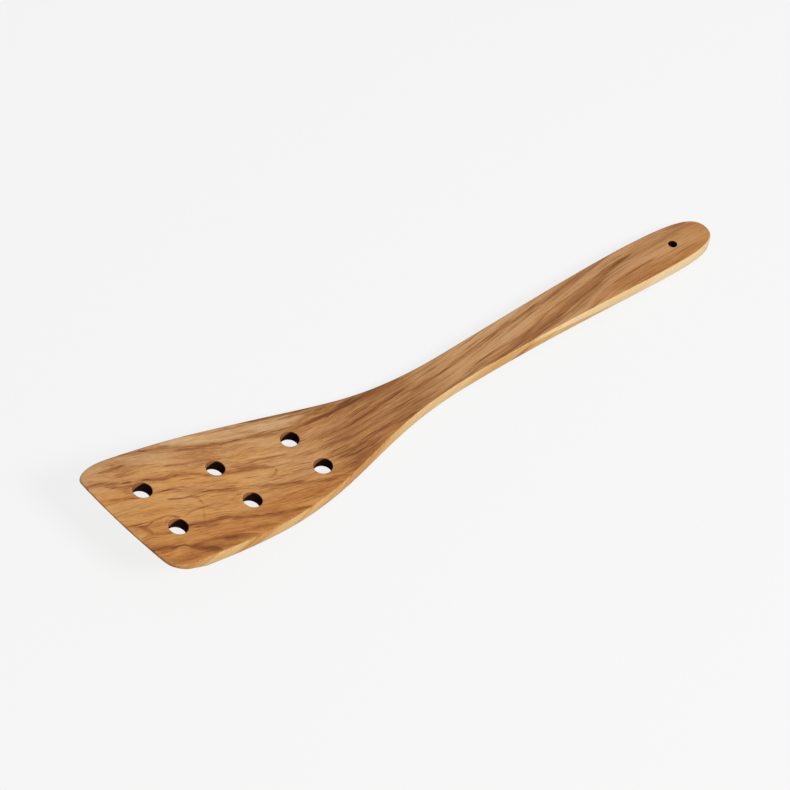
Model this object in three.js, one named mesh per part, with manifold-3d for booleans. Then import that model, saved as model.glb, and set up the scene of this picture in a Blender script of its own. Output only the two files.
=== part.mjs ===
// A kitchen turner cut from one piece of olive wood: a broad blade with a slanted, bevelled end and six round
// drain holes, a narrow neck, and a flat handle with a hole to hang it by. The board is bent up at the heel,
// between blade and handle, and the handle is gently arched.
//
// Millimetres, +Z up. The turner lies on a table as it is put down, with the handle towards +X. The origin is on
// the table, under the middle of the turner.
import * as THREE from "three";
import { mergeVertices } from "three/addons/utils/BufferGeometryUtils.js";
import Module from "manifold-3d";

// Outline of the board as if it were flat. Lengths run along the board from the far corner of the blade's end,
// and half widths are measured from the centre line.
const BLADE_LENGTH = 162.5;
const GRIP_LENGTH = 98.7;
const BUTT_LENGTH = 38.8;
const TIP_HALF_WIDTH = 29.1;
const NECK_HALF_WIDTH = 8.45;
const GRIP_HALF_WIDTH = 10.45;

// How far each stretch of the side runs on in its own direction before it turns, and how round the handle ends.
const BLADE_SIDE_RUN = 102.5;
const BLADE_SIDE_SWELL = 3.9;
const SHOULDER_RUN = 60.5;
const NECK_RUN = 36.2;
const GRIP_RUN = 19.6;
const BUTT_RUN = 25.4;
const BUTT_HALF_FACE = 9.5;

// The blade's end: cut at a slant and slightly crowned. Each corner is rounded over a length of the end and a
// length of the side. A bevel on the underside thins the end.
const TIP_SLANT = 10.7;
const TIP_CROWN = 1.6;
const FAR_CORNER_ON_END = 6.4;
const FAR_CORNER_ON_SIDE = 14.2;
const NEAR_CORNER_ON_END = 5.6;
const NEAR_CORNER_ON_SIDE = 6.4;
const CORNER_FULLNESS = 0.55;
const TIP_BEVEL = 14.2;

// Side view: straight blade, bend at the heel, straight neck, arched handle and a straight butt.
const BLADE_STRAIGHT = 57.4;
const HEEL_RADIUS = 200;
const HEEL_BEND = 20.5;
const NECK_STRAIGHT = 27.9;
const ARCH_RADIUS = 977;
const ARCH_BEND = 7.1;

// Thickness of the board, and the sanded rounding of its edges.
const TIP_THICKNESS = 1;
const BLADE_THICKNESS = 5.1;
const NECK_THICKNESS = 5.5;
const GRIP_THICKNESS = 5.8;
const EDGE_ROUND = 0.6;
const EDGE_SHARE_OF_THICKNESS = 0.3;

// Drain holes in three rows of two. A row crosses the centre line at its place along the board and leans as the
// blade's end does. The hanging hole is on the centre line. The rims are eased, and the tools run out past the
// wood.
const DRAIN_DIAMETER = 8;
const DRAIN_ROWS = [
  { along: 21.4, lean: 8.1, far: 9.9, near: 11.5 },
  { along: 54.5, lean: 12.5, far: 8.55, near: 11.5 },
  { along: 89.6, lean: 12.2, far: 8.4, near: 9.65 },
];
const HANG_DIAMETER = 4;
const HANG_FROM_END = 19.4;
const RIM_EASING = 0.3;
const TOOL_OVERRUN = 1;

const OLIVE_WOOD = { color: "#c08f58", roughness: 0.5, metalness: 0 };

// Steps along each stretch of the outline, round an edge and round a hole.
const TIP_STEPS = 8;
const CORNER_STEPS = 8;
const BLADE_STEPS = 30;
const GRIP_STEPS = 14;
const BUTT_STEPS = 14;
const EDGE_STEPS = 3;
const HOLE_SIDES = 36;
const HALVINGS = 40;

const neckAt = BLADE_LENGTH;
const gripAt = neckAt + GRIP_LENGTH;
const endAt = gripAt + BUTT_LENGTH;
const slant = THREE.MathUtils.degToRad(TIP_SLANT);
const heelBend = THREE.MathUtils.degToRad(HEEL_BEND);
const archBend = THREE.MathUtils.degToRad(ARCH_BEND);

const flat = (along, across) => new THREE.Vector2(along, across);

// The side of the board in three smooth stretches, drawn for the far side and mirrored for the near one.
const bladeSide = new THREE.CubicBezierCurve(
  flat(0, TIP_HALF_WIDTH),
  flat(BLADE_SIDE_RUN, TIP_HALF_WIDTH + BLADE_SIDE_SWELL),
  flat(neckAt - SHOULDER_RUN, NECK_HALF_WIDTH),
  flat(neckAt, NECK_HALF_WIDTH),
);
const gripSide = new THREE.CubicBezierCurve(
  flat(neckAt, NECK_HALF_WIDTH),
  flat(neckAt + NECK_RUN, NECK_HALF_WIDTH),
  flat(gripAt - GRIP_RUN, GRIP_HALF_WIDTH),
  flat(gripAt, GRIP_HALF_WIDTH),
);
const buttSide = new THREE.CubicBezierCurve(
  flat(gripAt, GRIP_HALF_WIDTH),
  flat(gripAt + BUTT_RUN, GRIP_HALF_WIDTH),
  flat(endAt, BUTT_HALF_FACE),
  flat(endAt, 0),
);

// Distance of a point behind the line through the two sharp corners of the blade's end.
function behindTip(along, across) {
  return (along - (TIP_HALF_WIDTH - across) * Math.tan(slant)) * Math.cos(slant);
}

// Place on the blade's side, as a curve parameter, that lies a given distance behind the end.
function sideParameter(side, distance) {
  let low = 0;
  let high = 1;
  for (let step = 0; step < HALVINGS; step += 1) {
    const halfway = (low + high) / 2;
    const at = bladeSide.getPoint(halfway);
    if (behindTip(at.x, side * at.y) < distance) {
      low = halfway;
    } else {
      high = halfway;
    }
  }
  return low;
}

function sidePoint(curve, parameter, side) {
  const at = curve.getPoint(parameter);
  return flat(at.x, side * at.y);
}

// Points of a curve between two of its parameters, without the first one.
function stretch(curve, from, to, steps, side = 1) {
  const points = [];
  for (let step = 1; step <= steps; step += 1) {
    points.push(sidePoint(curve, from + ((to - from) * step) / steps, side));
  }
  return points;
}

// The blade's end between its two sharp corners.
const farCorner = sidePoint(bladeSide, 0, 1);
const nearCorner = sidePoint(bladeSide, sideParameter(-1, 0), -1);
const backwards = flat(Math.cos(slant), Math.sin(slant));
const tipMiddle = farCorner.clone().lerp(nearCorner, 0.5);
const crownPull = tipMiddle.clone().addScaledVector(backwards, -2 * TIP_CROWN);
const tipEdge = new THREE.QuadraticBezierCurve(farCorner, crownPull, nearCorner);
const tipFrom = tipEdge.getUtoTmapping(0, FAR_CORNER_ON_END);
const tipTo = tipEdge.getUtoTmapping(0, tipEdge.getLength() - NEAR_CORNER_ON_END);

// One half of the outline, from the rounded corner at the blade's end to the middle of the handle's end.
function halfOutline(side, corner, tipParameter, lengthOnSide) {
  const sideFrom = sideParameter(side, lengthOnSide);
  const onTip = tipEdge.getPoint(tipParameter);
  const onSide = sidePoint(bladeSide, sideFrom, side);
  const rounded = new THREE.CubicBezierCurve(
    onTip,
    onTip.clone().lerp(corner, CORNER_FULLNESS),
    onSide.clone().lerp(corner, CORNER_FULLNESS),
    onSide,
  );
  return [
    onTip,
    ...stretch(rounded, 0, 1, CORNER_STEPS),
    ...stretch(bladeSide, sideFrom, 1, BLADE_STEPS, side),
    ...stretch(gripSide, 0, 1, GRIP_STEPS, side),
    ...stretch(buttSide, 0, 1, BUTT_STEPS, side),
  ];
}

// The closed outline: along the far half, back along the near half, and across the blade's end.
const farHalf = halfOutline(1, farCorner, tipFrom, FAR_CORNER_ON_SIDE);
const nearHalf = halfOutline(-1, nearCorner, tipTo, NEAR_CORNER_ON_SIDE);
const betweenCorners = stretch(tipEdge, tipTo, tipFrom, TIP_STEPS).slice(0, -1);
const outline = [...farHalf, ...nearHalf.slice(0, -1).reverse(), ...betweenCorners];
const lastOfHalf = farHalf.length - 1;
const opposite = (index) => 2 * lastOfHalf - index;
const inwards = outline.map((at, index) => {
  const before = outline.at(index - 1);
  const after = outline[(index + 1) % outline.length];
  const run = after.clone().sub(before).normalize();
  return flat(run.y, -run.x);
});

// Thickness of the board before its end is bevelled.
function boardThickness(along) {
  if (along < neckAt) {
    const share = Math.max(0, (along - BLADE_STRAIGHT) / (neckAt - BLADE_STRAIGHT));
    return THREE.MathUtils.lerp(BLADE_THICKNESS, NECK_THICKNESS, share);
  }
  const share = Math.min(1, (along - neckAt) / GRIP_LENGTH);
  return THREE.MathUtils.lerp(NECK_THICKNESS, GRIP_THICKNESS, share);
}

// Thickness with the bevel, which starts at the crown of the end.
const bevelSlope = (BLADE_THICKNESS - TIP_THICKNESS) / (TIP_BEVEL + TIP_CROWN);
function thickness(along, across) {
  const bevelled = TIP_THICKNESS + (behindTip(along, across) + TIP_CROWN) * bevelSlope;
  return Math.min(boardThickness(along), bevelled);
}

// The bends of the board, one after the other from the blade's end.
const bends = [
  { length: BLADE_STRAIGHT, turn: 0 },
  { length: HEEL_RADIUS * heelBend, turn: heelBend },
  { length: NECK_STRAIGHT, turn: 0 },
  { length: ARCH_RADIUS * archBend, turn: -archBend },
  { length: Infinity, turn: 0 },
];

// Place and pitch of the top face at a length along the board, in side view with the neck level.
function spine(along) {
  let x = 0;
  let z = 0;
  let pitch = -heelBend;
  let left = along;
  for (const { length, turn } of bends) {
    const run = Math.min(left, length);
    const turned = (turn * run) / length;
    const chord = turned === 0 ? run : (2 * run * Math.sin(turned / 2)) / turned;
    x += chord * Math.cos(pitch + turned / 2);
    z += chord * Math.sin(pitch + turned / 2);
    pitch += turned;
    left -= run;
  }
  return { x, z, pitch };
}

// A point of the bent board, at a depth square to its top face.
function bent(along, across, depth) {
  const { x, z, pitch } = spine(along);
  return new THREE.Vector3(x + Math.sin(pitch) * depth, across, z - Math.cos(pitch) * depth);
}

// Directions of the bent board at a length along it: forwards, across to the far side, and out of the top face.
function directions(along) {
  const { pitch } = spine(along);
  return {
    forwards: new THREE.Vector3(Math.cos(pitch), 0, Math.sin(pitch)),
    across: new THREE.Vector3(0, 1, 0),
    upwards: new THREE.Vector3(-Math.sin(pitch), 0, Math.cos(pitch)),
  };
}

// The outline at one angle of the edge's rounding, from 0 on the face to a quarter turn on the wall.
function edgeRing(angle, underside) {
  return outline.map((at, index) => {
    const limit = EDGE_SHARE_OF_THICKNESS * thickness(at.x, at.y);
    const radius = Math.min(EDGE_ROUND, limit);
    const inset = at.clone().addScaledVector(inwards[index], radius * (1 - Math.sin(angle)));
    const depth = radius * (1 - Math.cos(angle));
    return bent(inset.x, inset.y, underside ? boardThickness(inset.x) - depth : depth);
  });
}

// Triangles across the board: a fan over the rounded end of the blade, then strips from side to side.
function crossFaces() {
  const faces = [];
  const hub = CORNER_STEPS;
  const rim = [];
  for (let index = opposite(hub); index < outline.length + hub; index += 1) {
    rim.push(index % outline.length);
  }
  for (let index = 0; index + 1 < rim.length; index += 1) {
    faces.push([hub, rim[index], rim[index + 1]]);
  }
  for (let index = hub; index < lastOfHalf; index += 1) {
    faces.push([index, index + 1, opposite(index)]);
    if (index + 1 < lastOfHalf) {
      faces.push([index + 1, opposite(index + 1), opposite(index)]);
    }
  }
  return faces;
}

// Loft of the bent board: rings round the edge from the top face to the underside, closed across both faces.
function board() {
  const angles = Array.from({ length: EDGE_STEPS + 1 }, (_, step) => (step / EDGE_STEPS) * (Math.PI / 2));
  const rings = [
    ...angles.map((angle) => edgeRing(angle, false)),
    ...angles.map((angle) => edgeRing(angle, true)).reverse(),
  ];
  const count = outline.length;
  const faces = [];
  for (let ring = 0; ring + 1 < rings.length; ring += 1) {
    for (let index = 0; index < count; index += 1) {
      const above = ring * count;
      const below = above + count;
      const next = (index + 1) % count;
      faces.push([above + index, above + next, below + next]);
      faces.push([above + index, below + next, below + index]);
    }
  }
  const underside = (rings.length - 1) * count;
  for (const [a, b, c] of crossFaces()) {
    faces.push([a, c, b]);
    faces.push([underside + a, underside + b, underside + c]);
  }
  const geometry = new THREE.BufferGeometry().setFromPoints(rings.flat());
  geometry.setIndex(faces.flat());
  return geometry;
}

// The block that grinds the bevel: its top face starts at the crown, at the end's thickness, and runs down to the
// underside.
function bevelBlock() {
  const { forwards, across, upwards } = directions(0);
  const tilt = Math.atan(bevelSlope);
  const long = TIP_BEVEL + TIP_CROWN + 2 * TOOL_OVERRUN;
  const wide = 2 * (TIP_HALF_WIDTH + BLADE_SIDE_SWELL + TOOL_OVERRUN);
  const high = BLADE_THICKNESS + TOOL_OVERRUN;
  const start = tipMiddle.clone().addScaledVector(backwards, -TIP_CROWN);
  const place = new THREE.Matrix4().makeBasis(forwards, across, upwards);
  place.setPosition(bent(start.x, start.y, TIP_THICKNESS));
  return new THREE.BoxGeometry(long, wide, high)
    .translate(long / 2 - TOOL_OVERRUN, 0, -high / 2)
    .rotateY(tilt)
    .rotateZ(slant)
    .applyMatrix4(place);
}

// A drill with a cone at each end that eases the rims of its hole, set square to the top face.
function drill(along, across, diameter) {
  const depth = thickness(along, across);
  const radius = diameter / 2;
  const flare = radius + RIM_EASING + TOOL_OVERRUN;
  const profile = [
    flat(0, -depth - TOOL_OVERRUN),
    flat(flare, -depth - TOOL_OVERRUN),
    flat(radius, -depth + RIM_EASING),
    flat(radius, -RIM_EASING),
    flat(flare, TOOL_OVERRUN),
    flat(0, TOOL_OVERRUN),
  ];
  const { forwards, upwards } = directions(along);
  const place = new THREE.Matrix4().makeBasis(forwards, upwards, forwards.clone().cross(upwards));
  place.setPosition(bent(along, across, 0));
  return new THREE.LatheGeometry(profile, HOLE_SIDES).applyMatrix4(place);
}

const wasm = await Module();
wasm.setup();

function solid(geometry) {
  geometry.deleteAttribute("normal");
  geometry.deleteAttribute("uv");
  const merged = mergeVertices(geometry);
  const vertProperties = new Float32Array(merged.attributes.position.array);
  const triVerts = new Uint32Array(merged.index.array);
  return new wasm.Manifold(new wasm.Mesh({ numProp: 3, vertProperties, triVerts }));
}

// The board with its end bevelled and its holes drilled.
function workedBoard() {
  let wood = solid(board()).subtract(solid(bevelBlock()));
  for (const { along, lean, far, near } of DRAIN_ROWS) {
    const slope = Math.tan(THREE.MathUtils.degToRad(lean));
    for (const across of [far, -near]) {
      wood = wood.subtract(solid(drill(along - across * slope, across, DRAIN_DIAMETER)));
    }
  }
  wood = wood.subtract(solid(drill(endAt - HANG_FROM_END, 0, HANG_DIAMETER)));
  const { vertProperties, triVerts } = wood.getMesh();
  const geometry = new THREE.BufferGeometry();
  geometry.setAttribute("position", new THREE.BufferAttribute(vertProperties, 3));
  geometry.setIndex(new THREE.BufferAttribute(triVerts, 1));
  geometry.computeVertexNormals();
  return geometry;
}

// Length along X of the centre of gravity of a closed solid.
function balancePoint(geometry) {
  const at = geometry.attributes.position;
  const corners = [new THREE.Vector3(), new THREE.Vector3(), new THREE.Vector3()];
  let volume = 0;
  let moment = 0;
  for (let face = 0; face < geometry.index.count; face += 3) {
    corners.forEach((corner, k) => corner.fromBufferAttribute(at, geometry.index.getX(face + k)));
    const [a, b, c] = corners;
    const share = a.dot(b.clone().cross(c)) / 6;
    volume += share;
    moment += (share * (a.x + b.x + c.x)) / 4;
  }
  return moment / volume;
}

// Tilt about Y that lays the turner down: the two places of its underside that it rests on, either side of its
// centre of gravity, come level.
function restingTilt(geometry) {
  const at = geometry.attributes.position;
  const points = Array.from({ length: at.count }, (_, k) => flat(at.getX(k), at.getZ(k)));
  points.sort((p, q) => p.x - q.x || p.y - q.y);
  const lower = [];
  for (const next of points) {
    while (lower.length > 1) {
      const [p, q] = lower.slice(-2);
      if (q.clone().sub(p).cross(next.clone().sub(p)) > 0) {
        break;
      }
      lower.pop();
    }
    lower.push(next);
  }
  const balance = balancePoint(geometry);
  const right = lower.findIndex((p) => p.x > balance);
  const contact = lower[right].clone().sub(lower[right - 1]);
  return Math.atan2(contact.y, contact.x);
}

const turner = new THREE.Group();
const spatula = new THREE.Mesh(workedBoard(), new THREE.MeshStandardMaterial(OLIVE_WOOD));
spatula.name = "spatula";
spatula.rotation.y = restingTilt(spatula.geometry);
const box = new THREE.Box3().setFromObject(spatula, true);
const centre = box.getCenter(new THREE.Vector3());
spatula.position.set(-centre.x, -centre.y, -box.min.z);
turner.add(spatula);

export default turner;
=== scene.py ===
import math

import bpy
import numpy as np
from mathutils import Matrix, Vector


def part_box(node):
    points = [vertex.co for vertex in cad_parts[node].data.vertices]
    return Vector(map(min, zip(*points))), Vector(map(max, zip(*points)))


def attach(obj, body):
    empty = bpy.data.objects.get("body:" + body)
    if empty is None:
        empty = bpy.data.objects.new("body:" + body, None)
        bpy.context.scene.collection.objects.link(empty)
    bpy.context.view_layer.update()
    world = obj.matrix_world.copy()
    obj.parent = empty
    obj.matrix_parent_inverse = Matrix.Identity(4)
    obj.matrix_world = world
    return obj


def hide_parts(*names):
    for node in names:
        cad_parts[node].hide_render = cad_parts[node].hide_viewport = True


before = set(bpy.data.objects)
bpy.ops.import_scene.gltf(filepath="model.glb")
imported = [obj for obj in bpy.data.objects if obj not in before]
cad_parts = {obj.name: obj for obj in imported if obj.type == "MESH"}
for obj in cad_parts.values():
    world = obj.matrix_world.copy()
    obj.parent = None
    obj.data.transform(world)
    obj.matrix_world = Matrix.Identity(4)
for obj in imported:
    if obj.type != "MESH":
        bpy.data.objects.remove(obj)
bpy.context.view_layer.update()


# The board: one piece of olive wood, sawn to the outline of a turner and to a side view that bends up at the
# heel, ground to a bevel under the blade's end, and sanded slightly round along every edge. Sizes are in
# millimetres, lengths run from the blade's far corner, and far and near are as the camera sees the sides.
MM = 0.001

# Outline: the lengths of its three stretches, its half widths where they meet, and the pulls of its curves.
BLADE_LENGTH = 162.5
GRIP_LENGTH = 98.7
BUTT_LENGTH = 38.8
TIP_HALF_WIDTH = 29.1
NECK_HALF_WIDTH = 8.45
GRIP_HALF_WIDTH = 10.45
BLADE_SIDE_RUN = 102.5
BLADE_SIDE_SWELL = 3.9
SHOULDER_RUN = 60.5
NECK_RUN = 36.2
GRIP_RUN = 19.6
BUTT_RUN = 25.4
BUTT_HALF_FACE = 9.5

# Blade's end: its slant and crown, and how far its rounded corners reach along the end and along the side.
TIP_SLANT = math.radians(10.7)
TIP_CROWN = 1.6
FAR_CORNER_ON_END = 6.4
FAR_CORNER_ON_SIDE = 14.2
NEAR_CORNER_ON_END = 5.6
NEAR_CORNER_ON_SIDE = 6.4
CORNER_FULLNESS = 0.55

# Thickness, with the bevel under the blade's end, and the rounding of the edges.
TIP_BEVEL = 14.2
TIP_THICKNESS = 1.0
BLADE_THICKNESS = 5.1
NECK_THICKNESS = 5.5
GRIP_THICKNESS = 5.8
EDGE_ROUND = 0.6
EDGE_SHARE_OF_THICKNESS = 0.3

# Side view: a straight blade, the bend at the heel, a straight neck and the long arch of the handle.
BLADE_STRAIGHT = 57.4
HEEL_RADIUS = 200.0
HEEL_BEND = math.radians(20.5)
NECK_STRAIGHT = 27.9
ARCH_RADIUS = 977.0
ARCH_BEND = math.radians(7.1)
LYING_TILT = math.radians(3.449)

# Fineness of the mesh.
CURVE_STEPS = 400
STATION_SPACING = 1.4
EDGE_STEPS = 5
FACE_COLUMNS = 22
EDGE_COLUMN = 0.02

neck_at = BLADE_LENGTH
grip_at = neck_at + GRIP_LENGTH
end_at = grip_at + BUTT_LENGTH


def bezier(*pulls):
    """Points along a Bezier curve."""
    share = np.linspace(0, 1, CURVE_STEPS + 1)[:, None]
    points = [np.tile(np.asarray(pull, float), (CURVE_STEPS + 1, 1)) for pull in pulls]
    while len(points) > 1:
        points = [(1 - share) * a + share * b for a, b in zip(points, points[1:])]
    return points[0]


def behind_tip(along, across):
    """Distance behind the line through the two sharp corners of the blade's end."""
    return (along - (TIP_HALF_WIDTH - across) * math.tan(TIP_SLANT)) * math.cos(TIP_SLANT)


def run_of(points):
    """Length along a line of points, from its first one."""
    return np.concatenate([[0], np.cumsum(np.hypot(*np.diff(points, axis=0).T))])


def point_at(points, places, place):
    """The point of a line of points at a place, with the places of all of them."""
    return np.stack([np.interp(place, places, points[:, axis]) for axis in (0, 1)], axis=-1)


def half_outline(side, tip_half, on_end, on_side):
    """Outline from the middle of the blade's end, round a corner and along a side, to the handle's end."""
    corner = tip_half[-1]
    places = behind_tip(*side.T)
    run = run_of(tip_half)
    leaves_end = point_at(tip_half, run, run[-1] - on_end)
    joins_side = point_at(side, places, on_side)
    rounded = bezier(
        leaves_end,
        leaves_end + CORNER_FULLNESS * (corner - leaves_end),
        joins_side + CORNER_FULLNESS * (corner - joins_side),
        joins_side,
    )
    return np.concatenate([tip_half[run < run[-1] - on_end], rounded, side[places > on_side]])


far_side = np.concatenate([
    bezier(
        (0, TIP_HALF_WIDTH),
        (BLADE_SIDE_RUN, TIP_HALF_WIDTH + BLADE_SIDE_SWELL),
        (neck_at - SHOULDER_RUN, NECK_HALF_WIDTH),
        (neck_at, NECK_HALF_WIDTH),
    ),
    bezier(
        (neck_at, NECK_HALF_WIDTH),
        (neck_at + NECK_RUN, NECK_HALF_WIDTH),
        (grip_at - GRIP_RUN, GRIP_HALF_WIDTH),
        (grip_at, GRIP_HALF_WIDTH),
    )[1:],
    bezier(
        (grip_at, GRIP_HALF_WIDTH),
        (grip_at + BUTT_RUN, GRIP_HALF_WIDTH),
        (end_at, BUTT_HALF_FACE),
        (end_at, 0),
    )[1:],
])
near_side = far_side * (1, -1)
far_corner = far_side[0]
near_corner = point_at(near_side, behind_tip(*near_side.T), 0)
backwards = np.array((math.cos(TIP_SLANT), math.sin(TIP_SLANT)))
crown_pull = (far_corner + near_corner) / 2 - 2 * TIP_CROWN * backwards
tip_edge = bezier(far_corner, crown_pull, near_corner)
tip_middle = len(tip_edge) // 2
far_half = half_outline(far_side, tip_edge[tip_middle::-1], FAR_CORNER_ON_END, FAR_CORNER_ON_SIDE)
near_half = half_outline(near_side, tip_edge[tip_middle:], NEAR_CORNER_ON_END, NEAR_CORNER_ON_SIDE)

# The board is lofted over stations that lie parallel to the blade's end. The outline is parted where the
# first and the last station touch it, and one station lies on the upper edge of the bevel.
outline = np.concatenate([far_half, near_half[-2::-1]])
last_touch = int(np.argmax(behind_tip(*outline.T)))
far_edge = outline[: last_touch + 1]
near_edge = outline[: last_touch - 1 : -1]
far_places = behind_tip(*far_edge.T)
near_places = behind_tip(*near_edge.T)
mean_run = (run_of(far_edge) + np.interp(far_places, near_places, run_of(near_edge))) / 2
station_count = round(mean_run[-1] / STATION_SPACING)
stations = np.interp(np.linspace(0, mean_run[-1], station_count), mean_run, far_places)
stations[np.argmin(np.abs(stations - TIP_BEVEL))] = TIP_BEVEL


def thickness(along, across):
    """Thickness of the board, with the bevel under the blade's end."""
    lengths = (BLADE_STRAIGHT, neck_at, grip_at)
    sawn = np.interp(along, lengths, (BLADE_THICKNESS, NECK_THICKNESS, GRIP_THICKNESS))
    slope = (BLADE_THICKNESS - TIP_THICKNESS) / (TIP_BEVEL + TIP_CROWN)
    return np.minimum(sawn, TIP_THICKNESS + (behind_tip(along, across) + TIP_CROWN) * slope)


def rounded_edge(edge, places, turn):
    """Points round the edge of one side at each station: from the top face down to the underside."""
    at = point_at(edge, places, stations)
    heading = np.gradient(edge, axis=0)
    inward = point_at(np.stack([heading[:, 1], -heading[:, 0]], axis=1) * turn, places, stations)
    inward /= np.hypot(*inward.T)[:, None]
    radius = np.minimum(EDGE_ROUND, EDGE_SHARE_OF_THICKNESS * thickness(*at.T))
    rings = []
    for angle in np.linspace(0, math.pi / 2, EDGE_STEPS + 1):
        flat = at + inward * (radius * (1 - math.sin(angle)))[:, None]
        rings.append((flat, radius * (1 - math.cos(angle))))
    top = [np.column_stack([flat, depth]) for flat, depth in rings]
    underside = [np.column_stack([flat, thickness(*flat.T) - depth]) for flat, depth in reversed(rings)]
    return np.stack(top + underside, axis=1)


def across_face(start, stop):
    """Points across a face of the board at each station, between the edges' innermost points."""
    inner_shares = np.linspace(0, 1, FACE_COLUMNS + 1)[1:-1]
    shares = np.concatenate([[EDGE_COLUMN], inner_shares, [1 - EDGE_COLUMN]])
    return start[:, None, :] + (stop - start)[:, None, :] * shares[None, :, None]


def spine(along):
    """Place and pitch of the top face in side view, with the turner lying down."""
    x = np.zeros_like(along)
    z = np.zeros_like(along)
    pitch = np.full_like(along, LYING_TILT - HEEL_BEND)
    left = along.copy()
    bends = (
        (BLADE_STRAIGHT, 0),
        (HEEL_RADIUS * HEEL_BEND, HEEL_BEND),
        (NECK_STRAIGHT, 0),
        (ARCH_RADIUS * ARCH_BEND, -ARCH_BEND),
        (end_at, 0),
    )
    for length, turn in bends:
        run = np.minimum(left, length)
        turned = turn * run / length
        chord = run * np.sinc(turned / (2 * math.pi))
        x += chord * np.cos(pitch + turned / 2)
        z += chord * np.sin(pitch + turned / 2)
        pitch += turned
        left -= run
    return x, z, pitch


def bent(flat):
    """Points of the bent board, from their lengths along and across it and their depth under the top face."""
    along, across, depth = np.asarray(flat, float).reshape(-1, 3).T
    x, z, pitch = spine(along)
    return np.column_stack([x + np.sin(pitch) * depth, across, z - np.cos(pitch) * depth])


def mesh_of(name, points, faces):
    """A new mesh, from points in metres."""
    mesh = bpy.data.meshes.new(name)
    mesh.from_pydata(points, [], faces)
    return mesh


def put_in_scene(name, data):
    """A new object in the scene, made of a mesh, a lamp or a camera."""
    made = bpy.data.objects.new(name, data)
    bpy.context.scene.collection.objects.link(made)
    return made


far_rim = rounded_edge(far_edge, far_places, 1)
near_rim = rounded_edge(near_edge, near_places, -1)
top_face = across_face(far_rim[:, 0], near_rim[:, 0])
underside = across_face(near_rim[:, -1], far_rim[:, -1])
underside[..., 2] = thickness(underside[..., 0], underside[..., 1])
loft = np.concatenate([top_face, near_rim, underside, far_rim[:, ::-1]], axis=1)
station_total, ring = loft.shape[:2]
board_faces = []
for here in range(0, (station_total - 1) * ring, ring):
    beyond = here + ring
    for step in range(ring):
        following = (step + 1) % ring
        board_faces.append((here + step, here + following, beyond + following, beyond + step))
box_low, box_high = (np.array(corner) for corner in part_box("spatula"))
board_points = bent(loft) * MM
shift = (box_low + box_high) / 2 - (board_points.min(axis=0) + board_points.max(axis=0)) / 2
shift[2] = box_low[2] - board_points[:, 2].min()
board_mesh = mesh_of("turner_board", (board_points + shift).tolist(), board_faces)
board = put_in_scene("turner_board", board_mesh)
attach(board, "root")
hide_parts("spatula")


# The holes: six drilled through the blade to drain it, in rows that lean as its end does, and a small one
# through the handle's end to hang it by. Each is drilled square to the top face, with its rims sanded round.
# A row gives its length along the board, its lean in degrees, and how far its holes lie to each side.
DRAIN_DIAMETER = 8.0
DRAIN_ROWS = ((21.4, 8.1, 9.9, 11.5), (54.5, 12.5, 8.55, 11.5), (89.6, 12.2, 8.4, 9.65))
HANG_DIAMETER = 4.0
HANG_FROM_END = 19.4
RIM_ROUND = 0.25
RIM_ANGLES = np.radians((0, 20, 40, 60))
DRILL_SIDES = 64
DRILL_OVERRUN = 1.0
MERGE_DISTANCE = 0.002
SHARP_EDGE = math.radians(40)
SETTLING_STEPS = 12


def drill(along, across, diameter):
    """Points and faces of a drill whose ends flare round the rims of its hole."""
    hole_depth = float(thickness(np.array(along), np.array(across)))
    steepest = RIM_ANGLES[-1]
    profile = [
        (diameter / 2 - RIM_ROUND * (math.cos(angle) - math.cos(steepest)), RIM_ROUND * (1 - math.sin(angle)))
        for angle in RIM_ANGLES
    ]
    widest, shallowest = profile[-1]
    profile.append((widest + DRILL_OVERRUN, shallowest - DRILL_OVERRUN / math.tan(steepest)))
    profile = profile[::-1] + [(radius, hole_depth - below) for radius, below in profile]
    x, z, pitch = (float(value[0]) for value in spine(np.array([along], float)))
    forwards = np.array((math.cos(pitch), 0, math.sin(pitch)))
    sideways = np.array((0, 1, 0))
    downwards = np.array((math.sin(pitch), 0, -math.cos(pitch)))
    start = np.array((x, across, z))
    points = [
        start + radius * (math.cos(angle) * forwards + math.sin(angle) * sideways) + below * downwards
        for radius, below in profile
        for angle in np.arange(DRILL_SIDES) * 2 * math.pi / DRILL_SIDES
    ]
    faces = []
    last_level = len(points) - DRILL_SIDES
    for level in range(0, last_level, DRILL_SIDES):
        next_level = level + DRILL_SIDES
        for step in range(DRILL_SIDES):
            following = (step + 1) % DRILL_SIDES
            faces.append((level + step, next_level + step, next_level + following, level + following))
    faces.append(tuple(range(DRILL_SIDES)))
    faces.append(tuple(reversed(range(last_level, len(points)))))
    return points, faces


holes = [(end_at - HANG_FROM_END, 0.0, HANG_DIAMETER)]
for row_along, lean, far, near in DRAIN_ROWS:
    for across in (far, -near):
        holes.append((row_along - across * math.tan(math.radians(lean)), across, DRAIN_DIAMETER))
drill_points = []
drill_faces = []
for hole in holes:
    points, faces = drill(*hole)
    drill_faces += [tuple(len(drill_points) + corner for corner in face) for face in faces]
    drill_points += points
drills_mesh = mesh_of("drills", (np.array(drill_points) * MM + shift).tolist(), drill_faces)
drills = put_in_scene("drills", drills_mesh)

welding = board.modifiers.new("weld", "WELD")
welding.merge_threshold = MERGE_DISTANCE * MM
drilling = board.modifiers.new("drilling", "BOOLEAN")
drilling.operation = "DIFFERENCE"
drilling.solver = "EXACT"
drilling.object = drills
evaluated = board.evaluated_get(bpy.context.evaluated_depsgraph_get())
worked_mesh = bpy.data.meshes.new_from_object(evaluated)
board.modifiers.clear()
board.data = worked_mesh
bpy.data.meshes.remove(board_mesh)
bpy.data.objects.remove(drills)
bpy.data.meshes.remove(drills_mesh)
worked_mesh.name = "turner_board"
worked_mesh.polygons.foreach_set("use_smooth", np.ones(len(worked_mesh.polygons), bool))
worked_mesh.set_sharp_from_angle(angle=SHARP_EDGE)


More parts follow.
